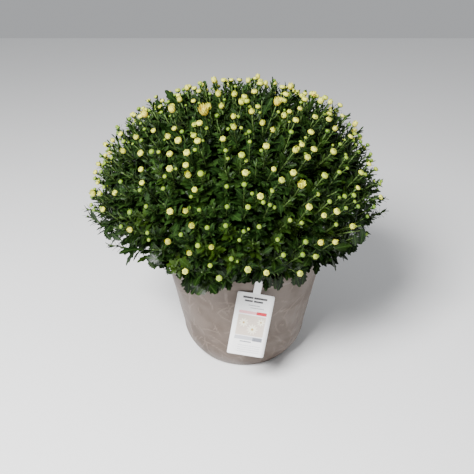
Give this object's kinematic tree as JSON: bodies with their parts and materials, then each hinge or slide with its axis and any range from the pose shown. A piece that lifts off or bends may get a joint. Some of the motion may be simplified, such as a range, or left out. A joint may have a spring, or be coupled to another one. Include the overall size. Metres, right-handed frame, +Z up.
{
  "type": "pot chrysanthemum",
  "caption": "Wide dome of a garden chrysanthemum in bud, in a round moulded pot with a plain card tag on its rim.",
  "frame": {"origin": "centre of the pot's flat base, on the surface it stands on", "axes": "+Z up, -Y towards the front, where the tag hangs, +X to the viewer's right"},
  "size_m": [0.5434, 0.5483, 0.5361],
  "materials": {
    "pot_plastic": "taupe-grey moulded plastic with a faint embossed line pattern, satin",
    "soil": "damp dark bark and peat potting mix, crumbly",
    "foliage": "dark green lobed leaves with a soft sheen and paler veins",
    "buds": "pale cream-yellow petals in green cups, satin",
    "tag_card": "white printed card with a light gloss"
  },
  "bodies": {
    "root": {"pot": "pot_plastic", "potting_soil": "soil", "care_tag": "tag_card", "leafy_stem_centre": "foliage", "leafy_stem_inner_1": "foliage", "leafy_stem_inner_2": "foliage", "leafy_stem_inner_3": "foliage", "leafy_stem_inner_4": "foliage", "leafy_stem_inner_5": "foliage", "leafy_stem_inner_6": "foliage", "leafy_stem_outer_01": "foliage", "leafy_stem_outer_02": "foliage", "leafy_stem_outer_03": "foliage", "leafy_stem_outer_04": "foliage", "leafy_stem_outer_05": "foliage", "leafy_stem_outer_06": "foliage", "leafy_stem_outer_07": "foliage", "leafy_stem_outer_08": "foliage", "leafy_stem_outer_09": "foliage", "leafy_stem_outer_10": "foliage", "leafy_stem_outer_11": "foliage", "leafy_stem_outer_12": "foliage"}
  },
  "joints": []
}
